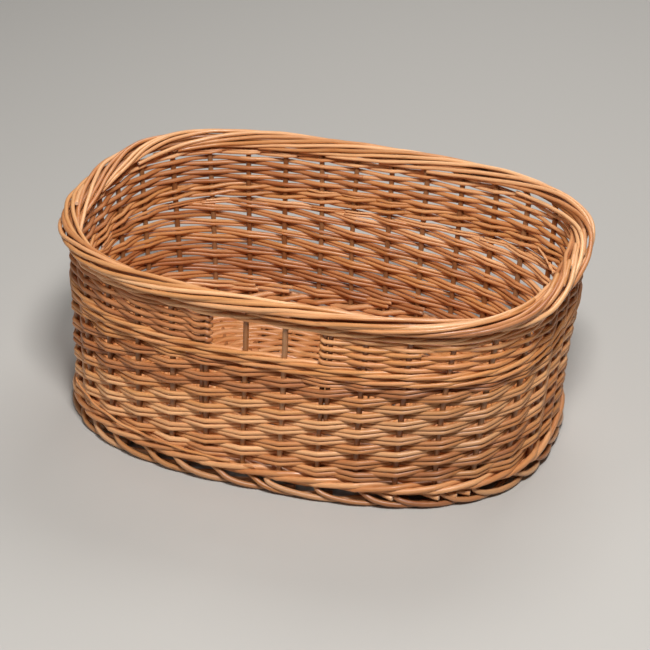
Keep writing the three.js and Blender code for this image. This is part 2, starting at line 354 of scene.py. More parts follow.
# marks on a rod: waves per millimetre along and across it, and how strongly each pulls the colour
rodMarks = {
    "fine": (0.05, 2.0, 2.0), "fineShare": 0.55,
    "broad": (0.012, 0.55, 0.55), "broadShare": 0.45,
    "blotch": (0.03, 0.12, 0.12), "blotchRange": (0.3, 0.7),
    "scar": (0.028, 0.16, 0.16), "scarSize": (0.03, 0.13),
    "goldenFrom": 0.55, "goldenPull": 0.7,       # rods with a cast above this turn golden
    "streakRange": (0.25, 0.75), "streakPull": 0.4,
    # pulls towards a colour: blotches, painted shade, bud scars and cut ends
    "pulls": [("Blotch", 0.25, "Pale"), ("Painted Shade", 0.85, "Brown"), ("Scar", 0.7, "Brown"),
              ("Cut", 0.7, "Pith")],
}
# the two willows, with linear colours; Brown is the colour of the bud scars and of the painted shade
weaverLook = {
    "Pale": (0.90, 0.49, 0.23, 1.0), "Middle": (0.60, 0.232, 0.072, 1.0), "Ruddy": (0.36, 0.108, 0.027, 1.0),
    "Golden": (0.62, 0.26, 0.064, 1.0), "Brown": (0.12, 0.037, 0.012, 1.0), "Pith": (0.84, 0.62, 0.43, 1.0),
    "streakContrast": 2.2, "scars": 0.6, "roughness": (0.30, 0.48), "specular": 0.5,
    "bump": 0.35, "bumpDepth": 0.0004, "scarBump": 0.5,
}
# the uprights: a paler Pale, partly their own colour and partly a painted highlight on the top of the border,
# and a warmer Brown for their painted shade
uprightLook = dict(weaverLook, Pale=(0.96, 0.55, 0.27, 1.0), Brown=(0.12, 0.031, 0.006, 1.0),
                   scars=0.7, roughness=(0.28, 0.44), specular=0.6, bump=0.4)
colorNames = ("Pale", "Middle", "Ruddy", "Golden", "Brown", "Pith")


def rodGrainGroup(m):
    # fine streaks along the rod and the soft blotches of the boiled bark
    tree, source, sink = newGroup("rodGrain", [
        ("Rod Space", "Vector", None),
        ("Streak Contrast", "Float", 1.0),
    ], [("Streak", "Float"), ("Blotch", "Float"), ("Height", "Float")])
    space = source.outputs["Rod Space"]
    fine = stretchedNoise(tree, space, m["fine"], 3.0)
    broad = stretchedNoise(tree, space, m["broad"], 2.0)
    blotch = stretchedNoise(tree, space, m["blotch"], 3.0, 0.6)
    streak = mathNode(tree, "ADD", mathNode(tree, "MULTIPLY", fine, m["fineShare"]),
                      mathNode(tree, "MULTIPLY", broad, m["broadShare"]))
    streak = mathNode(tree, "SUBTRACT", streak, 0.5)
    streak = mathNode(tree, "MULTIPLY", streak, source.outputs["Streak Contrast"])
    streak = mathNode(tree, "ADD", streak, 0.5, clamp=True)
    tree.links.new(streak, sink.inputs["Streak"])
    tree.links.new(rangeNode(tree, blotch, *m["blotchRange"], 0.0, 1.0), sink.inputs["Blotch"])
    tree.links.new(fine, sink.inputs["Height"])
    return tree


def budScarGroup(m):
    # the small dark scars where the buds were rubbed off
    tree, source, sink = newGroup("budScars", [
        ("Rod Space", "Vector", None),
        ("Amount", "Float", 0.5),
    ], [("Mask", "Float"), ("Height", "Float")])
    cells = tree.nodes.new("ShaderNodeTexVoronoi")
    cells.inputs["Scale"].default_value = 1.0
    tree.links.new(stretchedSpace(tree, source.outputs["Rod Space"], m["scar"]), cells.inputs["Vector"])
    spot = rangeNode(tree, cells.outputs["Distance"], *m["scarSize"], 1.0, 0.0)
    mask = mathNode(tree, "MULTIPLY", spot, source.outputs["Amount"], clamp=True)
    tree.links.new(mask, sink.inputs["Mask"])
    tree.links.new(spot, sink.inputs["Height"])
    return tree


def willowColorGroup(m):
    # colour of one rod by its tint and cast, pulled towards brown by painted shade where it stands in the
    # wall, pale at a cut end
    inputs = [("Tint", "Float", 0.5), ("Cast", "Float", 0.5), ("Painted Shade", "Float", 0.0), ("Cut", "Float", 0.0),
              ("Streak", "Float", 0.5), ("Blotch", "Float", 0.5), ("Scar", "Float", 0.0)]
    inputs += [(label, "Color", weaverLook[label]) for label in colorNames]
    tree, source, sink = newGroup("willowColor", inputs, [("Color", "Color")])
    low = rangeNode(tree, source.outputs["Tint"], 0.0, 0.5, 0.0, 1.0)
    high = rangeNode(tree, source.outputs["Tint"], 0.5, 1.0, 0.0, 1.0)
    color = mixColor(tree, low, source.outputs["Pale"], source.outputs["Middle"])
    color = mixColor(tree, high, color, source.outputs["Ruddy"])
    golden = rangeNode(tree, source.outputs["Cast"], m["goldenFrom"], 1.0, 0.0, m["goldenPull"])
    color = mixColor(tree, golden, color, source.outputs["Golden"])
    streakDark = rangeNode(tree, source.outputs["Streak"], *m["streakRange"], 0.0, m["streakPull"])
    color = mixColor(tree, streakDark, color, source.outputs["Ruddy"])
    for label, amount, target in m["pulls"]:
        pull = mathNode(tree, "MULTIPLY", source.outputs[label], amount)
        color = mixColor(tree, pull, color, source.outputs[target])
    tree.links.new(color, sink.inputs["Color"])
    return tree


grainGroup = rodGrainGroup(rodMarks)
scarGroup = budScarGroup(rodMarks)
colorGroup = willowColorGroup(rodMarks)


def placeGroup(tree, group):
    node = tree.nodes.new("ShaderNodeGroup")
    node.node_tree = group
    return node


def attributeNode(tree, name):
    node = tree.nodes.new("ShaderNodeAttribute")
    node.attribute_name = name
    return node


def willowMaterial(name, look):
    material = bpy.data.materials.new(name)
    material.use_nodes = True
    tree = material.node_tree
    shader = tree.nodes["Principled BSDF"]
    space = attributeNode(tree, "rodSpace").outputs["Vector"]
    marks = attributeNode(tree, "rodLook")
    split = tree.nodes.new("ShaderNodeSeparateColor")
    tree.links.new(marks.outputs["Color"], split.inputs[0])
    grain = placeGroup(tree, grainGroup)
    grain.inputs["Streak Contrast"].default_value = look["streakContrast"]
    tree.links.new(space, grain.inputs["Rod Space"])
    scars = placeGroup(tree, scarGroup)
    scars.inputs["Amount"].default_value = look["scars"]
    tree.links.new(space, scars.inputs["Rod Space"])
    color = placeGroup(tree, colorGroup)
    for label in colorNames:
        color.inputs[label].default_value = look[label]
    for label, output in (("Tint", split.outputs[0]), ("Painted Shade", split.outputs[1]), ("Cut", split.outputs[2]),
                          ("Cast", marks.outputs["Alpha"]), ("Streak", grain.outputs["Streak"]),
                          ("Blotch", grain.outputs["Blotch"]), ("Scar", scars.outputs["Mask"])):
        tree.links.new(output, color.inputs[label])
    tree.links.new(color.outputs["Color"], shader.inputs["Base Color"])
    rough = rangeNode(tree, grain.outputs["Streak"], 0.2, 0.8, *look["roughness"])
    tree.links.new(rough, shader.inputs["Roughness"])
    scarHeight = mathNode(tree, "MULTIPLY", scars.outputs["Height"], look["scarBump"])
    bump = tree.nodes.new("ShaderNodeBump")
    bump.inputs["Strength"].default_value = look["bump"]
    bump.inputs["Distance"].default_value = look["bumpDepth"]
    tree.links.new(mathNode(tree, "ADD", grain.outputs["Height"], scarHeight), bump.inputs["Height"])
    tree.links.new(bump.outputs["Normal"], shader.inputs["Normal"])
    shader.inputs["Specular IOR Level"].default_value = look["specular"]
    return material


weaverWillow = willowMaterial("weaverWillow", weaverLook)
uprightWillow = willowMaterial("uprightWillow", uprightLook)
print("willow materials made")


def rodTint(rng, middle, spread):
    return float(np.clip(rng.normal(middle, spread), 0.0, 1.0))


# uprights: butt along the foot, up through the wall, tip wound over the rolled border
uprights = {
    # the paler tint is partly the uprights' own colour and partly a painted highlight on the border
    "seed": 3, "tint": (0.24, 0.32), "sides": 12, "step": 4.0, "smoothing": 3.5,
    "footThickness": 5.6, "wallThickness": 5.9, "neckThickness": 5.4,
    "borderThickness": 4.8, "endThickness": 3.9, "thicknessSpread": 0.05,
    # steps along, height and distance outward of the foot strand, from its end back to the upright
    "footLine": [(2.4, 3.0, -7.0), (2.0, 3.0, -3.4), (1.7, 3.0, 1.0), (1.45, 3.4, 4.2), (1.15, 4.2, 6.0),
                 (0.85, 5.5, 6.9), (0.55, 7.5, 6.9), (0.32, 10.2, 5.8), (0.15, 13.8, 3.0), (0.04, 18.2, 0.6)],
    "footDrop": 0.9, "footShift": 0.2, "footPush": 0.6,    # how unevenly it lies down, along and outward
    "footLoose": ((3.2, 6.0), (19.0, -4.0)),               # heights and spans between which it does
    "wallFrom": 25.0, "wallLength": 170.0, "neckGap": 7.0, "lean": 0.03, "waver": 0.25, "waverPace": 5,
    "neck": [(0.02, -1.0, 0.4), (0.16, 2.2, 3.2)],         # steps along, height over the border's bottom, out
    "rollRadius": (8.7, 7.2),                              # outward and upward
    "rollHeight": 213.0, "rollOut": 2.0, "insideDrop": 3.2,
    # the winding in degrees, by the upright, and how far along it goes
    "rollStart": -52.0, "rollStep": 31.5, "rollSpread": 0.035, "rollEnd": 226.0,
    "borderFrom": 0.5, "borderStep": 0.125, "borderReach": 9.0, "reachSpread": 0.3,
    # how unevenly the strands lie beside and over each other
    "slip": 5.0, "layer": 0.1, "layerSpread": 0.03, "layerLength": 3.2, "layerTurns": 1.6,
    "driftUp": (0.7, 1.4), "driftOut": (0.9, 1.7), "driftFrom": (200.0, 8.0), "clearance": 0.1,
    # looser and steeper round both ends
    "ends": (0.72, 0.24), "endSpread": 0.16, "endTurn": 0.35, "endLayer": 0.6,
    # how far painted shade pulls them towards brown in the wall, on the two uprights beside the hand hole and
    # in the foot, and the heights and spans of the wall and foot
    "wallShade": 0.85, "holeShade": 0.66, "footShade": 0.56,
    "shadeFrom": (16.0, 10.0), "shadeTo": (205.0, -6.0), "footShadeTo": (18.0, -4.0),
    # the bye stakes, darkened with painted shade
    "bye": {"bottoms": (86.0, 75.0), "topGap": 2.0, "radius": 2.5, "tint": 0.6, "shade": 0.85},
    # the rods lying inside the roll, darkened with painted shade
    "core": {"count": 3, "turns": 4, "radius": 2.5, "tint": 0.7, "shade": 0.55, "sides": 8,
             "tall": 2.6, "wide": 3.4, "down": 1.0, "inside": 0.8},
    # cut ends that show on top of the border, by station and turn
    "topEnds": {"places": [(6.6, 118.0), (7.3, 96.0), (8.05, 122.0), (8.8, 100.0), (9.7, 112.0), (10.5, 92.0),
                           (28.2, 104.0)],
                "length": 1.1, "radius": 2.35, "tint": (0.3, 0.15), "wide": 1.12, "tall": 1.1,
                "tuck": 4.0, "tuckFrom": -0.55, "topGap": 2.5},
    # butts of the base sticks that show in the foot, by station and how far they reach out, with a little
    # painted shade
    "buttEnds": {"places": [(3.0, 5.6), (4.15, 6.2), (4.6, 5.8), (4.95, 5.2)],
                 "length": 0.48, "height": 13.2, "drop": 1.2, "inside": 6,
                 "radius": 2.8, "radiusSpread": 0.06, "tint": (0.2, 0.1), "shade": 0.1},
}


def endPart(u, station):
    # 1 at the two ends of the oval and 0 along the sides
    x = np.abs(ovalPoints(midX, midY, midSquareness, stationAngle(station))[..., 0])
    return ramp(x / midX, *u["ends"])


def footAndWallKnots(u, rng, station):
    # steps along, height, distance outward and thickness
    knots = []
    drop = rng.normal(0, u["footDrop"])
    shift = rng.normal(0, u["footShift"])
    for phi, z, out in u["footLine"]:
        sway = ramp(z, *u["footLoose"][0]) * ramp(z, *u["footLoose"][1])
        out = out + u["footPush"] * drop * sway
        knots.append((phi + shift * sway, z + drop * sway, out, u["footThickness"]))
    lean = rng.normal(0, u["lean"])
    bottom = wallShape["borderBottom"]
    for z in np.linspace(u["wallFrom"], bottom - u["neckGap"], 12):
        t = (z - u["wallFrom"]) / u["wallLength"]
        out = u["waver"] * math.sin(u["waverPace"] * t + station)
        knots.append((lean * math.sin(math.pi * t), z, out, u["wallThickness"]))
    for phi, over, out in u["neck"]:
        knots.append((phi, bottom + over, out, u["neckThickness"]))
    return knots


def borderKnots(u, rng, station):
    knots = []
    slip = rng.normal(0, u["slip"])
    turnStep = u["rollStep"] * rng.normal(1.0, u["rollSpread"])
    swell = 1.0 + u["layer"] * (1 if int(station) % 2 else -1) + rng.normal(0, u["layerSpread"])
    reach = u["borderReach"] + rng.uniform(-u["reachSpread"], u["reachSpread"])
    turned = u["rollStart"]
    for phi in np.arange(u["borderFrom"], reach + 0.01, u["borderStep"]):
        loose = float(endPart(u, station + phi))
        turned += u["borderStep"] * turnStep * (1 + u["endTurn"] * loose)
        if turned > u["rollEnd"]:
            break
        a = math.radians(turned + slip * min(phi - u["borderFrom"], 1))
        t = phi / u["borderReach"]
        # strands lie over and under each other by turns
        layer = math.sin(math.pi * min(phi / u["layerLength"], u["layerTurns"]))
        swing = 1 + (swell - 1) * (1 + u["endLayer"] * loose) * layer
        wide = u["rollRadius"][0] * (swing + u["endSpread"] * loose)
        tall = u["rollRadius"][1] * swing
        z = u["rollHeight"] + tall * math.sin(a) - u["insideDrop"] * max(-math.cos(a), 0)
        thick = u["borderThickness"] * (1 - t) + u["endThickness"] * t
        knots.append((phi, z, u["rollOut"] + wide * math.cos(a), thick))
    return knots


def uprightPath(u, rng, station):
    knots = footAndWallKnots(u, rng, station)
    knots = np.array(knots + borderKnots(u, rng, station))
    run = lengthAlong(knots[:, :3] * [spacing, 1, 1])
    fine = np.arange(0, run[-1], 1.0)
    dense = [smoothAlong(np.interp(fine, run, knots[:, k]), u["smoothing"]) for k in range(4)]
    pick = np.unique(np.round(np.linspace(0, len(fine) - 1, int(run[-1] / u["step"]))).astype(int))
    phi, z, out, thick = (d[pick] for d in dense)
    return station + phi, z, out, thick


def addUpright(bundle, rng, u, index):
    station, z, out, thick = uprightPath(u, rng, index + 0.5)
    thick = thick * rng.normal(1.0, u["thicknessSpread"])
    inBorder = ramp(z, *u["driftFrom"])
    z = z + wander(rng, station, *u["driftUp"]) * inBorder
    out = out + wander(rng, station, *u["driftOut"]) * inBorder
    z = np.clip(z, thick / 2, wallShape["height"] - thick / 2 - u["clearance"])
    # painted shade: pulled towards brown where an upright stands in the wall and in the foot
    paintedShade = ramp(z, *u["shadeFrom"]) * ramp(z, *u["shadeTo"])
    paintedShade = np.maximum(paintedShade, u["footShade"] * ramp(z, *u["footShadeTo"]))
    paintedShadeStrength = u["holeShade"] if index in (0, uprightCount - 1) else u["wallShade"]
    addWallRod(bundle, rng, station, z, out, thick / 2, rodTint(rng, *u["tint"]), paintedShade * paintedShadeStrength, u["sides"])


def makeUprights(u):
    bundle, rng = newBundle(u["seed"])
    for index in range(uprightCount):
        addUpright(bundle, rng, u, index)
    # a bye stake beside each edge of the hand hole, on the side away from it
    bye = u["bye"]
    for edge, way, bottom in ((rightEdge, 1, bye["bottoms"][0]), (leftEdge, -1, bye["bottoms"][1])):
        z = np.linspace(bottom, wallShape["borderBottom"] - bye["topGap"], 40)
        station = np.full_like(z, edge + way * byeGap)
        addWallRod(bundle, rng, station, z, 0 * z, bye["radius"], bye["tint"], bye["shade"], u["sides"])
    core = u["core"]
    for k in range(core["count"]):
        station = np.arange(0, uprightCount + 0.01, u["borderStep"])
        a = 2 * math.pi * (k / core["count"] + station / uprightCount * core["turns"])
        z = u["rollHeight"] - core["down"] + core["tall"] * np.sin(a)
        out = u["rollOut"] - core["inside"] + core["wide"] * np.cos(a)
        addWallRod(bundle, rng, station, z, out, core["radius"], core["tint"], core["shade"], core["sides"])
    top = u["topEnds"]
    for place, turn in top["places"]:
        f = np.linspace(-top["length"], 0, 14)
        a = np.radians(turn + u["rollStep"] * f)
        wide = u["rollRadius"][0] * (top["wide"] + u["endSpread"] * endPart(u, place + f))
        z = u["rollHeight"] + top["tall"] * u["rollRadius"][1] * np.sin(a)
        z = np.minimum(z - top["tuck"] * ramp(f, top["tuckFrom"], -1), wallShape["height"] - top["topGap"])
        out = u["rollOut"] + wide * np.cos(a)
        tint = rodTint(rng, *top["tint"])
        addWallRod(bundle, rng, place + f, z, out, top["radius"], tint, sides=u["sides"])
    butt = u["buttEnds"]
    for place, reach in butt["places"]:
        f = np.linspace(0, 1, 6)
        out = -butt["inside"] + (butt["inside"] + reach) * f
        points = wallPoints(place + butt["length"] * f, butt["height"] - butt["drop"] * f, out)
        addRod(bundle, rng, points, upward, butt["radius"] * rng.normal(1, butt["radiusSpread"]),
               rodTint(rng, *butt["tint"]), butt["shade"], u["sides"])
    nodes = ["stake_%02d" % (i + 1) for i in range(uprightCount)]
    bundleObject(bundle, "uprightsAndBorder", uprightWillow,
                 nodes + ["bye_stake_right", "bye_stake_left"])


makeUprights(uprights)


# three-rod waling: each rod over two uprights and under one, rising along its float
waling = {
    "rods": 3, "lead": 0.2, "overlap": 1.6, "roundShift": 7,
    # over three uprights: distance outward and height, as parts of the full bend and rise
    "bend": ((0, 0.5, 1, 2, 3), (1, 1.08, 1, -1, 1)),
    "lift": ((0, 1, 1.45, 2, 2.55, 3), (-0.9, 0.9, 1.1, 0, -1.1, -0.9)),
    "rise": 0.46, "thicknessSpread": 0.03, "butt": 1.04, "taper": 0.06, "tintSpread": 0.26,
    "tipLength": 1.5, "tipFlat": 0.7, "tipLift": 0.95,     # the tips run out along the top of the band
    "driftUp": 0.6, "driftOut": 0.4,
}
upsett = {
    "seed": 11, "thickness": 6.0, "tail": 2.2, "rounds": 1, "start": 32.3, "tint": 0.45, "press": 1.0,
    # stations and heights where each thin tip starts and ends
    "outerTips": [(29.8, 32.7, 47.0, 31.0), (30.1, 33.3, 43.5, 30.5), (30.5, 33.9, 40.0, 29.5),
                  (31.6, 34.6, 36.5, 29.0), (32.4, 35.2, 34.0, 28.0)],
}
midWale = {
    "seed": 12, "thickness": 4.15, "tail": 2.6, "rounds": 2, "start": 9.3, "tint": 0.4, "press": 0.8,
    # station, height and length of each tip that shows inside
    "innerTips": [(12.9, 154.0, 0.5), (12.7, 151.0, 0.45), (12.6, 147.0, 0.5), (12.35, 145.0, 0.4)],
}
topWale = {"seed": 13, "thickness": 4.0, "tail": 3.0, "rounds": 1, "start": 20.4, "tint": 0.36, "press": 0.85}
outerTip = {"stand": 7.6, "ripple": 0.7, "tuck": 3.5, "drift": 0.5, "radius": 1.0, "grow": 0.65,
            "tint": (0.3, 0.2), "sides": 8}
innerTip = {"drop": 4, "inside": 4, "slant": 4.5, "radius": 1.2, "taper": 0.3, "tint": 0.05, "sides": 8}


def addWale(bundle, rng, w, start, middle, doubled):
    reach = wallShape["uprightThickness"] / 2 + w["thickness"] / 2
    tipLength = waling["tipLength"]
    for rod in range(waling["rods"]):
        last = start + rod + uprightCount
        station = runStations(start + rod - waling["lead"], last + waling["overlap"])
        phase = np.mod((weaveStation(station) if doubled else station) - 0.5 - rod, 3.0)
        out = np.interp(phase, *waling["bend"]) * reach * w["press"]
        lift = np.interp(phase, *waling["lift"])
        tail = np.clip(station - (last - tipLength), 0, None) / (waling["overlap"] + tipLength)
        thick = w["thickness"] * rng.normal(1.0, waling["thicknessSpread"])
        thick = thick * (waling["butt"] - waling["taper"] * (station - start) / uprightCount)
        thick = thick + (w["tail"] - thick) * tail
        z = middle + waling["rise"] * w["thickness"] * lift * (1 - waling["tipFlat"] * tail)
        z = z + tail * w["thickness"] * waling["tipLift"]
        z = z + wander(rng, station, waling["driftUp"])
        out = out + wander(rng, station, waling["driftOut"])
        addWallRod(bundle, rng, station, z, out, thick / 2, rodTint(rng, w["tint"], waling["tintSpread"]))


def makeWale(name, w, low, high, nodes, doubled):
    bundle, rng = newBundle(w["seed"])
    pitch = (high - low) / w["rounds"]
    for turn in range(w["rounds"]):
        addWale(bundle, rng, w, w["start"] + waling["roundShift"] * turn, low + pitch * (turn + 0.5), doubled)
    tip = outerTip
    for begin, end, fromHeight, toHeight in w.get("outerTips", []):
        f = np.linspace(0, 1, 40)
        station = begin + (end - begin) * f
        z = fromHeight + (toHeight - fromHeight) * f + wander(rng, station, tip["drift"])
        out = tip["stand"] + tip["ripple"] * np.cos(2 * math.pi * station) - tip["tuck"] * f ** 6
        addWallRod(bundle, rng, station, z, out, tip["radius"] + tip["grow"] * f, rodTint(rng, *tip["tint"]),
                   sides=tip["sides"])
    tip = innerTip
    for place, height, length in w.get("innerTips", []):
        f = np.linspace(0, 1, 6)
        z = height - tip["drop"] * f
        out = -tip["inside"] - tip["slant"] * f
        addWallRod(bundle, rng, place - length * f, z, out, tip["radius"] - tip["taper"] * f, tip["tint"],
                   sides=tip["sides"])
    bundleObject(bundle, name, weaverWillow, nodes)


makeWale("upsettWale", upsett, wallShape["footTop"], wallShape["upsettTop"], ["upsett_1", "upsett_2"], False)
makeWale("midWale", midWale, wallShape["sidingTop"], wallShape["holeBottom"],
         ["mid_wale_1", "mid_wale_2"], True)
makeWale("topWale", topWale, wallShape["holeTop"], wallShape["borderBottom"], ["top_wale"], True)


# siding: pairs of rods in front of one upright and behind the next, climbing to the right
siding = {
    "seed": 21, "pairs": 18, "sides": 9,
    "layer": 9.35,                   # a pair climbs this much in two uprights
    "thickness": 4.75, "thicknessSpread": 0.06, "butt": 1.08, "taper": 0.17,
    "tipTaper": 0.3, "tipLength": 2.5,
    "thinner": (1.0, 0.9),           # thickness of the rods in the front and back wall
    "press": (0.88, 0.7),            # part of its full bend a rod takes, front and back wall
    "sag": (-0.45, 0.5),             # a rod lies this much lower outside than inside, front and back wall
    "apart": 0.98,                   # the two rods of a pair, in thicknesses
    "spread": 0.12, "spreadRange": (0.3, 1.4),      # how far they part where they pass an upright
    "margin": 0.95,                  # first and last course from the bands beside them, in thicknesses
    "climbFrom": 1.5, "topRun": 0.9,                # stations before a pair climbs and after it
    "layIn": (0.12, 0.28), "runOut": (0.12, 0.3),   # ends past their upright
    "byeFrom": (75.0, 20.0),         # height and span where the bye stakes begin
    "driftUp": (0.7, 0.9), "driftOut": 0.4,
    "tint": (0.45, 0.4), "rodTintSpread": 0.2,
    "shadedStretch": (5.0, 2.6, 0.38),               # station, spread and amount of painted shade on one stretch of the wall
}


def makeSiding(sd):
    bundle, rng = newBundle(sd["seed"])
    climb = sd["layer"] / 2
    low = wallShape["upsettTop"] + sd["thickness"] * sd["margin"]
    high = wallShape["sidingTop"] - sd["thickness"] * sd["margin"]
    reach = (wallShape["uprightThickness"] + sd["thickness"]) / 2
    place, wide, amount = sd["shadedStretch"]
    for pair in range(sd["pairs"]):
        # laid in and run out behind an upright, and one behind where its neighbour is in front
        start = 2 * pair - pair % 2 + 0.5
        climbFrom = 2 * pair + sd["climbFrom"]
        full = climbFrom + (high - low) / climb
        last = start + 2 * math.ceil((full + sd["topRun"] - start) / 2)
        pairTint = rodTint(rng, *sd["tint"])
        for rod in range(2):
            station = runStations(start - rng.uniform(*sd["layIn"]), last + rng.uniform(*sd["runOut"]))
            level = np.clip(low + climb * (station - climbFrom), low, high)
            laid = station + (weaveStation(station) - station) * ramp(level, *sd["byeFrom"])
            swing = overOne(np.clip(laid - start, 0, last - start) + 1)
            t = (station - station[0]) / (station[-1] - station[0])
            tip = np.clip((station - last + sd["tipLength"]) / sd["tipLength"], 0, 1)
            thick = sd["thickness"] * (sd["butt"] - sd["taper"] * t - sd["tipTaper"] * tip)
            thick = thick * rng.normal(1, sd["thicknessSpread"])
            thick = thick * frontToBack(station, sd["thinner"])
            apart = thick * (sd["apart"] + sd["spread"] * np.abs(swing) * rng.uniform(*sd["spreadRange"]))
            z = level + (rod - 0.5) * apart - frontToBack(station, sd["sag"]) * swing
            z = z + wander(rng, station, *sd["driftUp"])
            out = swing * reach * frontToBack(station, sd["press"]) + wander(rng, station, sd["driftOut"])
            tint = float(np.clip(pairTint + rng.normal(0, sd["rodTintSpread"]), 0, 1))
            # painted shade on one stretch of the wall
            paintedShade = amount * np.exp(-((np.mod(station, uprightCount) - place) / wide) ** 2)
            addWallRod(bundle, rng, station, z, out, thick / 2, tint, paintedShade, sd["sides"])
    bundleObject(bundle, "sidingWeave", weaverWillow,
                 ["siding_course_%02d" % (i + 1) for i in range(12)])


makeSiding(siding)


# upper weaving: one zigzag of single rods, turned back in loops round the edge uprights of the hand hole
upperWeave = {
    "seed": 31, "rows": 6, "thickness": 4.75, "thicknessSpread": 0.04, "tint": (0.42, 0.26),
    "press": 0.64, "kink": 0.97, "sag": (-0.5, 0.45), "driftUp": 0.45, "driftOut": 0.25,
    # the loops left of the hole: how thick they are and where, how far they hang and where
    "loopThickness": 4.7, "loopFrom": (1.35, -0.9),
    "loopSag": 3.6, "hangPlace": 0.28, "hangSpread": 0.3,
    # rows lie closer beside the hole, with one more pair laid in
    "packedRows": 8, "slots": (0, 1, 2, 3, 6, 7), "packing": (3.4, -2.2),
    "extraRows": (4, 5), "extraSlots": (4, 5), "extraReach": (2.25, 3.25), "extraTints": (0.7, 0.42),
    # the back uprights where rods from both sides meet, and how far their ends pass them
    "meetFrom": 14.5, "meetChoices": 4, "endReach": 0.2,
}


def makeUpperWeave(w):
    bundle, rng = newBundle(w["seed"])
    low = wallShape["holeBottom"]
    tall = wallShape["holeTop"] - low
    reach = w["press"] * (wallShape["uprightThickness"] + w["thickness"]) / 2

    def rowHeight(row, slot, station):
        even = low + tall * (row + 0.5) / w["rows"]
        packed = low + tall * (slot + 0.5) / w["packedRows"]
        inside = np.minimum(np.abs(leftEdge - station), np.abs(station - rightEdge))
        near = ramp(inside, *w["packing"])
        near = near * near * (3 - 2 * near)
        return even + (packed - even) * near

    def addLeg(path, row, slot, begin, end):
        run = runStations(min(begin, end), max(begin, end))
        run = run[::-1] if end < begin else run
        out = overOne(weaveStation(run) - 0.5 + row + 1, w["kink"]) * reach
        z = rowHeight(row, slot, run) - frontToBack(run, w["sag"]) * out / reach
        path.append((run, z + wander(rng, run, w["driftUp"]), out + wander(rng, run, w["driftOut"])))

    def addTurn(path, edge, way):
        z, out = (values[-1] for values in path[-1][1:])
        sweep = np.linspace(0, math.pi, 9)[1:-1]
        rise = tall / w["packedRows"]
        path.append((edge + way * np.sin(sweep) * reach / spacing, z + rise * sweep / math.pi,
                     math.copysign(reach, out) * np.cos(sweep)))

    def layRod(path, tint):
        station, z, out = (np.concatenate([part[k] for part in path]) for k in range(3))
        near = ramp(leftEdge - station, *w["loopFrom"])
        hang = np.exp(-((leftEdge - w["hangPlace"] - station) / w["hangSpread"]) ** 2)
        hang = hang * np.clip(out / reach + 0.4, 0, 1)
        thick = w["thickness"] + (w["loopThickness"] - w["thickness"]) * near
        addWallRod(bundle, rng, station, z - w["loopSag"] * hang, out,
                   thick / 2 * rng.normal(1, w["thicknessSpread"]), tint)

    def loopPath(edge, way, rows, slots, begin, end):
        path = []
        addLeg(path, rows[0], slots[0], begin, edge)
        addTurn(path, edge, way)
        addLeg(path, rows[1], slots[1], edge, end)
        return path

    # each rod turns back at the hole; the rods from both sides meet on the outside of the back wall
    for row in range(0, w["rows"], 2):
        meet = [w["meetFrom"] + 2 * int(rng.integers(0, w["meetChoices"])) + (row + k) % 2 for k in range(2)]
        for edge, way in ((rightEdge, -1), (leftEdge, 1)):
            ends = [place - w["endReach"] * way for place in meet]
            path = loopPath(edge, way, (row, row + 1), w["slots"][row:row + 2], *ends)
            layRod(path, rodTint(rng, *w["tint"]))
    # a short weaver laid in beside each edge
    for edge, way, tint in zip((leftEdge, rightEdge), (1, -1), w["extraTints"]):
        ends = [edge - way * reached for reached in w["extraReach"]]
        layRod(loopPath(edge, way, w["extraRows"], w["extraSlots"], *ends), tint)
    nodes = ["upper_weaver_%d" % (i + 1) for i in range(4)]
    bundleObject(bundle, "upperWeave", weaverWillow, nodes)


makeUpperWeave(upperWeave)


# base: one long weave wound round a short middle, over one stick and under the next
wovenBase = {
    "seed": 41, "height": 12.6, "inset": 1.2, "sides": 8,
    "thickness": 6.5, "thicknessSpread": 0.05, "tint": (0.56, 0.2),
    "rowPitch": 6.5, "wave": 2.8, "kink": 0.8, "drift": 0.3, "rodLength": (140, 300), "step": 5.0,
    "middle": 35.0, "middleSquareness": 3.2, "grow": (0.8, 0.2),     # how the rounds grow in length
    "firstTurn": 0.3, "ringShift": 0.8, "ringsPast": 0.4,
    # the last round lies flatter and higher against the wall
    "edgeFrom": (0.94, 0.04), "edgeLift": 2.8, "edgeFlat": 0.7,
    "coreBeside": 2.5, "coreEnds": (4, 2),
    # short rows packed in where the rounds part at the ends
    "packed": {"from": 0.3, "shift": 1.3, "reach": (0.3, 0.8), "wave": 0.6, "down": 0.5, "radius": 2.3},
    "stickGap": 37.0, "straightHalf": 100.0, "fanSteps": 7, "weaveCount": 25,
    # the sticks under the weave, darkened with painted shade
    "stick": {"radius": 2.2, "part": (0.03, 0.985), "tint": (0.6, 0.1), "shade": 0.5},
}


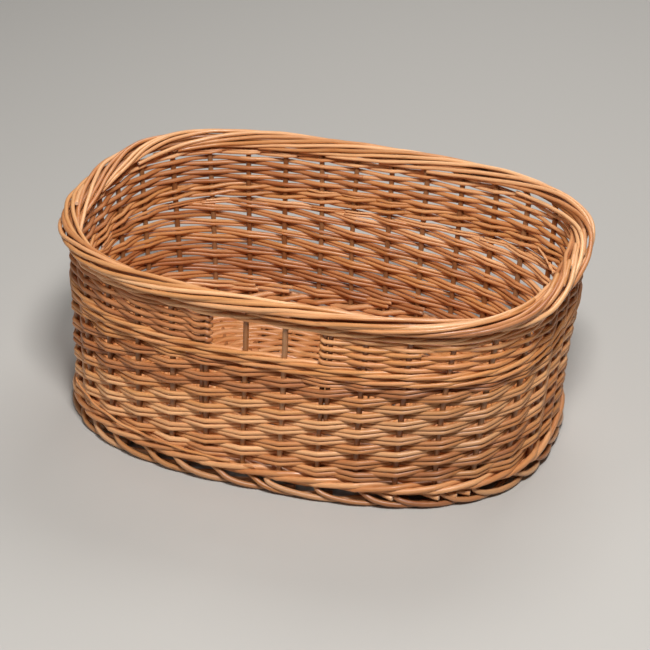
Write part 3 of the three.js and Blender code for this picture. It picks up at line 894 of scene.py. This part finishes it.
def makeBase(b):
    bundle, rng = newBundle(b["seed"])
    halfX = rimX - wallShape["flare"] - b["inset"]
    halfY = rimY - wallShape["flare"] - b["inset"]
    footShift = wallShape["lean"] / 2
    rings = int(halfY / b["rowPitch"])
    ringSpan = rings + b["ringsPast"]
    half = b["straightHalf"]
    fanSteps = b["fanSteps"]
    along = 2 * half / b["stickGap"]
    scale = b["weaveCount"] / (2 * along + 2 * fanSteps)

    def ringPoints(t, angle):
        first, second = b["grow"]
        a = b["middle"] + (halfX - b["middle"]) * (first * t + second * t * t)
        square = b["middleSquareness"] + (wallShape["footSquareness"] - b["middleSquareness"]) * t
        return ovalPoints(a, halfY * t, square, angle) - [footShift, 0]

    def stickCount(points):
        # sticks lie across the straight middle and fan round both ends, counted counter-clockwise
        x = points[:, 0] + footShift
        y = points[:, 1]
        fan = fanSteps / math.pi
        right = np.mod(np.arctan2(y, x - half), 2 * math.pi) * fan
        left = fanSteps / 2 + along + (np.mod(np.arctan2(y, x + half), 2 * math.pi) - math.pi / 2) * fan
        top = fanSteps / 2 + (half - x) / b["stickGap"]
        low = 1.5 * fanSteps + along + (x + half) / b["stickGap"]
        count = np.where(y > 0, top, low)
        count = np.where(x < -half, left, count)
        rightCount = np.where(y >= 0, right, right + 2 * along)
        return np.where(x > half, rightCount, count) * scale

    def addBaseRod(points, radius, tint, paintedShade=0.0):
        addRod(bundle, rng, points, upward, radius, tint, paintedShade, b["sides"])

    turn = np.arange(b["firstTurn"], rings, 1 / 200)
    t = np.minimum((turn + b["ringShift"]) / ringSpan, 1.0)
    p = ringPoints(t, 2 * math.pi * np.mod(turn, 1))
    nearEdge = ramp(t, *b["edgeFrom"])
    wave = b["wave"] * (1 - b["edgeFlat"] * nearEdge)
    swing = overOne(stickCount(p) + b["weaveCount"] * np.floor(turn), b["kink"])
    z = b["height"] + b["edgeLift"] * nearEdge + swing * wave
    run = lengthAlong(p)
    even = np.arange(0, run[-1], b["step"])
    path = np.stack([np.interp(even, run, v) for v in (p[:, 0], p[:, 1], z)], axis=-1)
    begin = 0
    while begin < len(path) - 10:
        end = min(begin + int(rng.uniform(*b["rodLength"])), len(path))
        points = path[max(begin - 1, 0):end + 1].copy()
        points[:, 2] += wander(rng, np.arange(len(points)) / 8, b["drift"])
        addBaseRod(points, b["thickness"] / 2 * rng.normal(1, b["thicknessSpread"]), rodTint(rng, *b["tint"]))
        begin = end
    # two rods fill the middle
    startIn, endPast = b["coreEnds"]
    core = np.linspace(startIn - b["middle"], b["middle"] + endPast, 12) - footShift
    for beside in (-b["coreBeside"], b["coreBeside"]):
        points = np.stack([core, 0 * core + beside, 0 * core + b["height"]], axis=-1)
        addBaseRod(points, b["thickness"] / 2, rodTint(rng, *b["tint"]))
    packed = b["packed"]
    for ring in range(int(rings * packed["from"]), rings - 1):
        for end in (0.0, math.pi):
            mid = (ring + packed["shift"] + end / (2 * math.pi)) / ringSpan
            reach = packed["reach"][0] + packed["reach"][1] * ring / rings
            q = ringPoints(mid, end + np.linspace(-reach, reach, 40))
            swing = overOne(stickCount(q) + b["weaveCount"] * ring + 0.5, b["kink"])
            z = b["height"] - packed["down"] + swing * b["wave"] * packed["wave"]
            points = np.concatenate([q, z[:, None]], axis=1)
            addBaseRod(points, packed["radius"], rodTint(rng, *b["tint"]))
    stick = b["stick"]
    f = np.linspace(*stick["part"], 24)[:, None]
    rim = ringPoints(np.ones(1441), np.linspace(0, 2 * math.pi, 1441))
    rimCount = stickCount(rim)
    for k in range(b["weaveCount"]):
        outer = rim[int(np.argmin(np.abs(rimCount - k - 0.001)))]
        inner = np.array([np.clip(outer[0], -half, half), 0.0])
        points = np.concatenate([inner + (outer - inner) * f, np.full((24, 1), b["height"])], axis=1)
        addBaseRod(points, stick["radius"], rodTint(rng, *stick["tint"]), stick["shade"])
    bundleObject(bundle, "wovenBase", weaverWillow, ["woven_base"])


makeBase(wovenBase)


# plain pale floor
floorLook = {"color": (0.475, 0.455, 0.425, 1.0), "roughness": 0.65, "specular": 0.2, "halfSize": 6.0}


def makeFloor(f):
    h = f["halfSize"]
    mesh = bpy.data.meshes.new("floor")
    mesh.from_pydata([(-h, -h, 0), (h, -h, 0), (h, h, 0), (-h, h, 0)], [], [(0, 1, 2, 3)])
    material = bpy.data.materials.new("paleFloor")
    material.use_nodes = True
    shader = material.node_tree.nodes["Principled BSDF"]
    shader.inputs["Base Color"].default_value = f["color"]
    shader.inputs["Roughness"].default_value = f["roughness"]
    shader.inputs["Specular IOR Level"].default_value = f["specular"]
    mesh.materials.append(material)
    floor = bpy.data.objects.new("floor", mesh)
    bpy.context.scene.collection.objects.link(floor)


makeFloor(floorLook)

# soft studio light: a box overhead to the front right, a fill from the left, one behind and an even room
studio = {
    "lamps": {
        "key": {"place": (0.58, -1.12, 2.05), "size": 0.45, "power": 54.5},
        "fill": {"place": (-1.6, -1.1, 1.3), "size": 1.4, "power": 7.0},
        "back": {"place": (0.1, 1.45, 1.9), "size": 1.2, "power": 24.0},
    },
    "aim": (0.0, 0.0, 0.08),
    "room": 0.06, "roomColor": (1.0, 0.985, 0.965, 1.0),
}


def makeStudio(s):
    for name, look in s["lamps"].items():
        lamp = bpy.data.lights.new(name + "Light", "AREA")
        lamp.shape = "SQUARE"
        lamp.size = look["size"]
        lamp.energy = look["power"]
        obj = bpy.data.objects.new(name + "Light", lamp)
        obj.location = look["place"]
        aim = Vector(s["aim"]) - Vector(look["place"])
        obj.rotation_euler = aim.to_track_quat("-Z", "Y").to_euler()
        bpy.context.scene.collection.objects.link(obj)
    world = bpy.data.worlds.new("room")
    bpy.context.scene.world = world
    world.use_nodes = True
    background = world.node_tree.nodes["Background"]
    background.inputs["Color"].default_value = s["roomColor"]
    background.inputs["Strength"].default_value = s["room"]


makeStudio(studio)

# camera at the photograph's angle: a long lens a little to the right of the front
cameraSet = {
    "azimuth": 19.38, "elevation": 29.54, "distance": 2.297, "aim": (0.0, 0.0, 0.1117),
    "focalPixels": 2200.0, "framePixels": 650.0, "offset": (-4.38, -13.67), "sensor": 36.0,
}


def makeCamera(c):
    az = math.radians(c["azimuth"])
    el = math.radians(c["elevation"])
    back = Vector((math.sin(az) * math.cos(el), -math.cos(az) * math.cos(el), math.sin(el)))
    data = bpy.data.cameras.new("camera")
    data.sensor_width = c["sensor"]
    data.lens = c["focalPixels"] / c["framePixels"] * c["sensor"]
    data.shift_x = -c["offset"][0] / c["framePixels"]
    data.shift_y = c["offset"][1] / c["framePixels"]
    data.clip_end = 100.0
    camera = bpy.data.objects.new("camera", data)
    camera.location = Vector(c["aim"]) + back * c["distance"]
    camera.rotation_euler = (-back).to_track_quat("-Z", "Y").to_euler()
    bpy.context.scene.collection.objects.link(camera)
    bpy.context.scene.camera = camera


makeCamera(cameraSet)
bpy.context.scene.view_settings.view_transform = "Standard"
print("floor, light and camera set")
